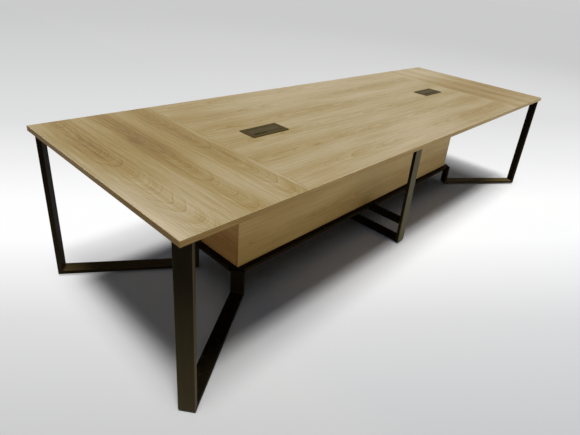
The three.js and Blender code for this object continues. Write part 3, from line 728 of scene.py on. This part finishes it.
def mesh_of(name, shape):
    """The shape as a mesh. The shape is used up."""
    bmesh.ops.recalc_face_normals(shape, faces=shape.faces)
    mesh = bpy.data.meshes.new(name)
    shape.to_mesh(mesh)
    shape.free()
    return mesh


def add_piece(name, shape, material, body="table", sharp=35.0):
    """Makes a piece from a shape that is in the table's own coordinates."""
    mesh = mesh_of(name, shape)
    mesh.shade_smooth()
    mesh.set_sharp_from_angle(angle=radians(sharp))
    mesh.materials.append(material)
    piece = new_object(name, mesh)
    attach(piece, body)
    return piece


def middle(node):
    """The middle of a CAD node, seen from above, and its highest level."""
    low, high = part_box(node)
    return (low.x + high.x) / 2, (low.y + high.y) / 2, high.z


def corner_frame(signs):
    """The foot point, inward direction and sideways direction of an end frame."""
    sign_x, sign_y = signs
    foot = Vector((sign_x * LEG_FOOT[0], sign_y * LEG_FOOT[1], 0.0))
    inward = Vector((-sign_x * FRAME_TURN[0], -sign_y * FRAME_TURN[1], 0.0))
    aside = Vector((sign_x * FRAME_TURN[1], -sign_y * FRAME_TURN[0], 0.0))
    return foot, inward, aside


def mid_frame(sign):
    """The same for one side of the mid frame."""
    return Vector((0.0, sign * MID_LEG_FOOT, 0.0)), Vector((0.0, -sign, 0.0)), RIGHT


def skin(shape, loops):
    """Faces from each loop of points to the next, and over the first and the last."""
    for low, high in zip(loops, loops[1:]):
        for part in range(len(low)):
            shape.faces.new((low[part - 1], low[part], high[part], high[part - 1]))
    shape.faces.new(loops[0][::-1])
    shape.faces.new(loops[-1])


# Fillet welds with the ripples of a bead laid by hand
BEAD_SIZE = 0.0042
BEAD_SUNK = 0.0003
BEAD_PITCH = 0.0026
BEAD_RIPPLE = 0.14
BEAD_LEAN = 0.35
BEAD_ROUNDNESS = 1.4
BEAD_END_SIZE = 0.45
BEAD_END_LENGTH = 0.004
BEAD_STEP = 0.00065
BEAD_POINTS = 6
WELD_HALF = TUBE_WIDTH / 2 - TUBE_CORNER


def bead(shape, start, end, first, second):
    """A bead from start to end in the corner between two faces, which leave it along first and second."""
    length = (end - start).length
    run = (end - start) / length
    steps = round(length / BEAD_STEP)
    rows = []
    for step in range(steps + 1):
        along = length * step / steps
        ripple = abs(sin(pi * along / BEAD_PITCH))
        taper = min(1.0, BEAD_END_SIZE + min(along, length - along) / BEAD_END_LENGTH)
        size = BEAD_SIZE * taper * (1 - BEAD_RIPPLE + BEAD_RIPPLE * ripple)
        sunk = start + run * along - (first + second) * BEAD_SUNK
        row = [shape.verts.new(sunk)]
        for point in range(BEAD_POINTS + 1):
            turn = pi / 2 * point / BEAD_POINTS
            out = first * cos(turn) ** BEAD_ROUNDNESS + second * sin(turn) ** BEAD_ROUNDNESS
            lean = run * (BEAD_LEAN * BEAD_PITCH * sin(2 * turn) * taper)
            row.append(shape.verts.new(sunk + out * size + lean))
        rows.append(row)
    skin(shape, rows)


def cross_bead(shape, place, aside, first, second, low=-WELD_HALF):
    """A bead across a tube, from one distance to the side of a place up to the tube's far corner."""
    bead(shape, place + aside * low, place + aside * WELD_HALF, first, second)


def leg_beads(shape, foot, inward, aside):
    """The leg's joints with its floor rail and its top plate."""
    joint = foot + inward * TUBE_DEPTH
    cross_bead(shape, joint + UP * RAIL_TOP, aside, inward, UP)
    cross_bead(shape, joint + UP * PLATE_BOTTOM, aside, inward, -UP)


def add_welds():
    low_level, high_level = BASE_RAIL_LEVELS
    rail_foot = TUBE_CORNER + low_level
    rail_head = high_level - TUBE_CORNER

    for name, signs in CORNERS.items():
        foot, inward, aside = corner_frame(signs)
        shape = bmesh.new()
        leg_beads(shape, foot, inward, aside)
        post_joint = foot + inward * (FRAME_LENGTH - TUBE_DEPTH) + UP * RAIL_TOP
        cross_bead(shape, post_joint, aside, -inward, UP)
        post_face = foot + inward * FRAME_LENGTH + UP * low_level
        outer = (BASE_HALF_WIDTH - abs(post_face.y)) / FRAME_TURN[0]
        cross_bead(shape, post_face, aside, inward, -UP, low=TUBE_CORNER - outer)
        add_piece("weld_" + name, shape, weld_steel)

    for name, sign in SIDES.items():
        foot, inward, aside = mid_frame(sign)
        shape = bmesh.new()
        leg_beads(shape, foot, inward, aside)
        leg_joint = foot + inward * TUBE_DEPTH
        cross_bead(shape, leg_joint + UP * high_level, aside, inward, UP)
        cross_bead(shape, leg_joint + UP * low_level, aside, inward, -UP)
        for end in (-1, 1):
            place = Vector((end * TUBE_WIDTH / 2, sign * BASE_HALF_WIDTH, 0.0))
            bead(shape, place + UP * rail_foot, place + UP * rail_head, RIGHT * end, -inward)
        add_piece("weld_mid_" + name, shape, weld_steel)

    shape = bmesh.new()
    inner_x = BASE_HALF_LENGTH - TUBE_WIDTH
    inner_y = BASE_HALF_WIDTH - TUBE_WIDTH
    for sign in (-1, 1):
        inward = Vector((0.0, -sign, 0.0))
        for x, end in ((-inner_x, 1), (-TUBE_WIDTH / 2, -1), (TUBE_WIDTH / 2, 1), (inner_x, -1)):
            place = Vector((x, sign * inner_y, 0.0))
            bead(shape, place + UP * rail_foot, place + UP * rail_head, RIGHT * end, inward)
    add_piece("weld_base", shape, weld_steel)


def lathe(profile, centre=(0.0, 0.0), segments=40, ring=False, turn=0.0):
    """Turns (radius, height) points about an upright axis. A ring's last point joins its first."""
    shape = bmesh.new()
    loops = []
    for radius, height in profile:
        if radius == 0.0:
            loops.append([shape.verts.new((*centre, height))])
            continue
        angles = [turn + 2 * pi * part / segments for part in range(segments)]
        loops.append([shape.verts.new((centre[0] + radius * cos(angle),
                                       centre[1] + radius * sin(angle), height)) for angle in angles])
    for low, high in zip(loops, loops[1:] + (loops[:1] if ring else [])):
        for part in range(segments):
            after = (part + 1) % segments
            corners = [low[part % len(low)], low[after % len(low)],
                       high[after % len(high)], high[part % len(high)]]
            shape.faces.new(list(dict.fromkeys(corners)))
    return shape


def rounded(length, depth, radius, parts=5):
    """The corner points of a rounded rectangle about the origin."""
    points = []
    for quarter, (side_x, side_y) in enumerate(((1, 1), (-1, 1), (-1, -1), (1, -1))):
        for part in range(parts + 1):
            angle = pi / 2 * (quarter + part / parts)
            points.append((side_x * (length / 2 - radius) + radius * cos(angle),
                           side_y * (depth / 2 - radius) + radius * sin(angle)))
    return points


def slab(outline, centre, levels):
    """Closed shape through one outline at several (height, scale) levels."""
    shape = bmesh.new()
    skin(shape, [[shape.verts.new((centre[0] + x * scale, centre[1] + y * scale, height)) for x, y in outline]
                 for height, scale in levels])
    return shape


def cut(shape, cutters):
    """The shape with the cutters taken out of it, as a new mesh."""
    body, *tools = [new_object("cut", mesh_of("cut", item)) for item in (shape, *cutters)]
    for tool in tools:
        modifier = body.modifiers.new("cut", "BOOLEAN")
        modifier.operation = "DIFFERENCE"
        modifier.solver = "EXACT"
        modifier.object = tool
    bpy.context.view_layer.update()
    ready = body.evaluated_get(bpy.context.evaluated_depsgraph_get())
    made = bpy.data.meshes.new_from_object(ready)
    for item in (body, *tools):
        bpy.data.objects.remove(item)
    return made


def copies(source, places):
    """A shape that holds the mesh once for each place."""
    shape = bmesh.new()
    for place in places:
        first = len(shape.verts)
        shape.from_mesh(source)
        shape.verts.ensure_lookup_table()
        bmesh.ops.transform(shape, matrix=place, verts=shape.verts[first:])
    return shape


# Pan-head screws with a cross recess, up through the plates into the top
SCREW_HEAD = ((0.0, -0.0048), (0.0022, -0.0048), (0.0026, -0.0044), (0.0026, 0.0), (0.0052, 0.0),
              (0.0054, 0.0003), (0.0054, 0.0011), (0.0051, 0.0019), (0.0044, 0.0026), (0.0034, 0.0030),
              (0.0, 0.0031))
SCREW_RECESS = ((0.0010, 0.4), (0.0034, 1.0))
SCREW_SLOTS = ((0.0056, 0.0012), (0.0012, 0.0056))
SCREW_SLOT_CORNER = 0.0005
SCREW_FROM_EDGE = 0.012
LEG_PLATE_LENGTH = 0.110
SEAM_PLATE = (0.160, 0.060)
SEAM_PLATE_PLACE = (1.075, 0.330)


def screw_mesh():
    slots = [slab(rounded(*size, SCREW_SLOT_CORNER, parts=2), (0.0, 0.0), SCREW_RECESS)
             for size in SCREW_SLOTS]
    return cut(lathe(SCREW_HEAD, segments=28), slots)


def add_screws():
    mesh = screw_mesh()
    chance = random.Random(5)

    def place(point):
        turn = Matrix.Rotation(pi, 4, "X") @ Matrix.Rotation(chance.uniform(0.0, pi), 4, "Z")
        return Matrix.Translation(Vector((point.x, point.y, PLATE_BOTTOM))) @ turn

    sideways = TUBE_WIDTH / 2 - SCREW_FROM_EDGE
    frames = {name: corner_frame(signs) for name, signs in CORNERS.items()}
    frames.update({"mid_" + name: mid_frame(sign) for name, sign in SIDES.items()})
    for name, (foot, inward, aside) in frames.items():
        points = [foot + inward * along + aside * across
                  for along in (TUBE_DEPTH + SCREW_FROM_EDGE, LEG_PLATE_LENGTH - SCREW_FROM_EDGE)
                  for across in (-sideways, sideways)]
        add_piece("screws_leg_" + name, copies(mesh, map(place, points)), screw_zinc)
    half_x, half_y = (size / 2 - SCREW_FROM_EDGE for size in SEAM_PLATE)
    for name, (sign_x, sign_y) in CORNERS.items():
        points = [Vector((sign_x * SEAM_PLATE_PLACE[0] + x, sign_y * SEAM_PLATE_PLACE[1] + y, 0.0))
                  for x in (-half_x, half_x) for y in (-half_y, half_y)]
        add_piece("screws_seam_" + name, copies(mesh, map(place, points)), screw_zinc)


# Glides: a plastic pad, and a hexagon collar with the threaded stem above it
GLIDE_PAD = ((0.0, 0.0005), (0.0124, 0.0005), (0.0128, 0.0), (0.0150, 0.0), (0.0157, 0.0004),
             (0.0160, 0.0012), (0.0160, 0.0034), (0.0156, 0.0042), (0.0140, 0.0049), (0.0108, 0.0056),
             (0.0100, 0.0060), (0.0096, 0.0066), (0.0, 0.0066))
GLIDE_COLLAR = ((0.0, 0.0060), (0.0070, 0.0060), (0.0075, 0.0064), (0.0075, 0.0092), (0.0069, 0.0097),
                (0.0, 0.0097))
COLLAR_TURN = 0.3
STEM_CORE = 0.00335
STEM_CREST = 0.0040
STEM_CREST_TOP = 1.6
STEM_CREST_FALL = 3.6
STEM_TIP = 0.0004
STEM_LEVELS = (0.0095, 0.0257)
STEM_PITCH = 0.00125
STEM_ROWS_PER_TURN = 6
STEM_SEGMENTS = 24


def thread(shape, centre):
    """A screw thread as a closed column whose radius follows a helix."""
    low, high = STEM_LEVELS
    rows = round((high - low) / STEM_PITCH * STEM_ROWS_PER_TURN)
    loops = []
    for row in range(rows + 1):
        height = low + (high - low) * row / rows
        loop = []
        for part in range(STEM_SEGMENTS):
            angle = 2 * pi * part / STEM_SEGMENTS
            phase = (height / STEM_PITCH - part / STEM_SEGMENTS) % 1.0
            crest = min(1.0, max(0.0, STEM_CREST_TOP - STEM_CREST_FALL * abs(phase - 0.5)))
            radius = STEM_CORE + (STEM_CREST - STEM_CORE) * crest
            radius = min(radius, STEM_CORE - STEM_TIP + (high - height))
            loop.append(shape.verts.new((centre[0] + radius * cos(angle),
                                         centre[1] + radius * sin(angle), height)))
        loops.append(loop)
    skin(shape, loops)


def add_glides():
    for name in sorted(node for node in nodes if node.startswith("glide_")):
        centre = middle(name)[:2]
        pad = lathe(GLIDE_PAD, centre)
        piece = add_piece(name + "_pad", pad, glide_black, body=name)
        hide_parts(name)
        stud = lathe(GLIDE_COLLAR, centre, segments=6, turn=COLLAR_TURN)
        thread(stud, centre)
        add_piece(name + "_stud", stud, stud_zinc, body=name)


# Inside the power modules: two sockets and a data plate in each, with heights above the pockets' floor
POCKET_DEPTH = 0.004
POCKET_PITCH = 0.045
PLATE_SIZE = (0.0394, 0.0454)
PLATE_CORNER = 0.003
PLATE_LEVELS = ((0.0, 0.97), (0.0003, 1.0), (0.0026, 1.0), (0.0032, 0.985), (0.0034, 0.955))
CUT_PAST = 0.001
CUT_TOP = PLATE_LEVELS[-1][0] + CUT_PAST
DISH_RADIUS = 0.0178
DISH_FLARE = 0.0008
DISH_LEVEL = 0.0014
PIN_RADIUS = 0.0026
PIN_OFFSET = 0.0095
EARTH_SLOT = (0.0060, 0.0020)
EARTH_OFFSET = 0.0155
PORT_SIZE = (0.0125, 0.0100)
PORT_OFFSET = 0.0095
PORT_SHIFT = 0.0008
PORT_RECESS = (0.0165, 0.0150)
PORT_RECESS_CORNER = 0.0012
PORT_RECESS_LEVEL = 0.0026
LATCH_NOTCH = (0.0042, 0.0030)
LATCH_SHIFT = -0.0052


def disc(centre, radius, low, high, segments, lower_radius=None):
    """An upright cylinder, or a cone where its lower radius is another one."""
    return lathe(((0.0, low), (lower_radius or radius, low), (radius, high), (0.0, high)), centre, segments)


def box_cutter(centre, size, low, high, radius=0.0008):
    """An upright block with rounded corners."""
    return slab(rounded(*size, radius, parts=3), centre, ((low, 1.0), (high, 1.0)))


def cover(centre, floor, cutters):
    """A cover plate on the pocket's floor, with the cutters taken out of it."""
    levels = [(floor + height, scale) for height, scale in PLATE_LEVELS]
    return cut(slab(rounded(*PLATE_SIZE, PLATE_CORNER), centre, levels), cutters)


def socket_plate(centre, floor):
    """A round dish with two pin holes and two earth slots."""
    x, y = centre
    under, top = floor - CUT_PAST, floor + CUT_TOP
    dish = disc(centre, DISH_RADIUS, floor + DISH_LEVEL, top, segments=48,
                lower_radius=DISH_RADIUS - DISH_FLARE)
    holes = [disc((x + side * PIN_OFFSET, y), PIN_RADIUS, under, top, segments=20) for side in (-1, 1)]
    slots = [box_cutter((x, y + side * EARTH_OFFSET), EARTH_SLOT, under, top) for side in (-1, 1)]
    return cover(centre, floor, [dish, *holes, *slots])


def data_plate(centre, floor):
    """Two sunk data ports, each with the notch for its latch."""
    x, y = centre
    under, top = floor - CUT_PAST, floor + CUT_TOP
    cutters = []
    for side in (-1, 1):
        port = y + side * PORT_OFFSET
        cutters.append(box_cutter((x, port), PORT_RECESS, floor + PORT_RECESS_LEVEL, top, PORT_RECESS_CORNER))
        cutters.append(box_cutter((x, port + PORT_SHIFT), PORT_SIZE, under, top))
        cutters.append(box_cutter((x, port + LATCH_SHIFT), LATCH_NOTCH, under, top))
    return cover(centre, floor, cutters)


def add_sockets():
    for end, outward in ENDS.items():
        x, y, top = middle("power_sockets_" + end)
        makers = (("socket_1", socket_plate, outward), ("socket_2", socket_plate, 0),
                  ("data_plate", data_plate, -outward))
        for kind, maker, offset in makers:
            shape = bmesh.new()
            shape.from_mesh(maker((x + offset * POCKET_PITCH, y), top - POCKET_DEPTH))
            add_piece("power_%s_%s" % (kind, end), shape, fitting_plastic, sharp=30.0)


# A brush along each cable slot: its strip from the bezel's middle, and rows of three-sided bristles
BRUSH_SPAN = (-0.008, 0.0852)
BRUSH_BACK = (-0.0274, -0.0262)
BRUSH_TIP = -0.0200
BRUSH_LEVELS = (0.7478, 0.7531)
BRUSH_CORNER = 0.0004
BRUSH_CHAMFER = 0.0003
BRUSH_END_SCALE = 0.98
BRISTLE_LEVELS = (0.7500, 0.7512, 0.7524)
BRISTLE_SPACING = 0.00042
BRISTLE_MARGIN = 0.001
BRISTLE_SHIFT = 0.00012
BRISTLE_SUNK = 0.0004
BRISTLE_LEAN = 0.0005
BRISTLE_UNEVEN = 0.0006
BRISTLE_RISE = 0.0004
BRISTLE_WIDTHS = (0.00022, 0.000132)
BRISTLE_TURNS = (0.5, 2.6, 4.7)


def add_brushes():
    """Bristles that close most of each cable slot, set in a strip along its near wall."""
    chance = random.Random(11)
    back, front = BRUSH_BACK
    low, high = BRUSH_LEVELS
    for end in ENDS:
        first, last = (middle("power_bezel_" + end)[0] + offset for offset in BRUSH_SPAN)
        strip = rounded(last - first, front - back, BRUSH_CORNER, parts=2)
        shape = slab(strip, ((first + last) / 2, (back + front) / 2),
                     ((low, BRUSH_END_SCALE), (low + BRUSH_CHAMFER, 1.0),
                      (high - BRUSH_CHAMFER, 1.0), (high, BRUSH_END_SCALE)))
        for number in range(int((last - first - 2 * BRISTLE_MARGIN) / BRISTLE_SPACING)):
            for level in BRISTLE_LEVELS:
                x = first + BRISTLE_MARGIN + number * BRISTLE_SPACING + chance.uniform(-1, 1) * BRISTLE_SHIFT
                root = Vector((x, front - BRISTLE_SUNK, level))
                tip = Vector((x + chance.uniform(-1, 1) * BRISTLE_LEAN,
                              BRUSH_TIP - chance.uniform(0.0, BRISTLE_UNEVEN),
                              level + chance.uniform(-1, 1) * BRISTLE_RISE))
                loops = []
                for point, width in zip((root, tip), BRISTLE_WIDTHS):
                    around = [Vector((cos(turn), 0.0, sin(turn))) * width for turn in BRISTLE_TURNS]
                    loops.append([shape.verts.new(point + away) for away in around])
                skin(shape, loops)
        add_piece("power_brush_" + end, shape, bristle)


# Grommets that line the cable holes of the trunk's floor and of the trays
TRUNK_GROMMET = ((0.0291, 0.1534), (0.0299, 0.1532), (0.0299, 0.1721), (0.0340, 0.1721), (0.0346, 0.1726),
                 (0.0344, 0.1736), (0.0330, 0.1744), (0.0306, 0.1746), (0.0294, 0.1740), (0.0291, 0.1730))
TRUNK_HOLE = 0.500
TRAY_GROMMET = ((0.01220, 0.6596), (0.01245, 0.6590), (0.0142, 0.6588), (0.0150, 0.6591), (0.0150, 0.6598),
                (0.01245, 0.6599), (0.01245, 0.6621), (0.0150, 0.6622), (0.0150, 0.6629), (0.0142, 0.6632),
                (0.01245, 0.6630), (0.01220, 0.6624))
TRAY_HOLE_INWARDS = 0.072


def add_grommets():
    for end, sign in ENDS.items():
        shape = lathe(TRUNK_GROMMET, (sign * TRUNK_HOLE, 0.0), segments=48, ring=True)
        add_piece("trunk_grommet_" + end, shape, grommet_rubber)
        x, y, _ = middle("power_tray_" + end)
        shape = lathe(TRAY_GROMMET, (x - sign * TRAY_HOLE_INWARDS, y), ring=True)
        add_piece("tray_grommet_" + end, shape, grommet_rubber)


weld_steel = dark_steel("weld_steel", ((26, 20, 12), (32, 25, 15), (40, 32, 20)), gloss=0.03)
screw_zinc = bright_steel("screw_zinc")
stud_zinc = bright_steel("stud_zinc")
fitting_plastic = plastic("fitting_plastic", ((196, 195, 190), (208, 207, 203)), grain=1100.0)
# The bristles are paler than the bezel: painted light that offsets the shade of the slot's walls
bristle = plastic("bristle", ((72, 61, 35), (92, 79, 48)), grain=2400.0, gloss=0.1)
grommet_rubber = plastic("grommet_rubber", ((24, 23, 22), (33, 32, 30)), grain=800.0)

add_welds()
add_screws()
add_glides()
add_sockets()
add_brushes()
add_grommets()

bpy.context.scene.view_settings.view_transform = "Standard"
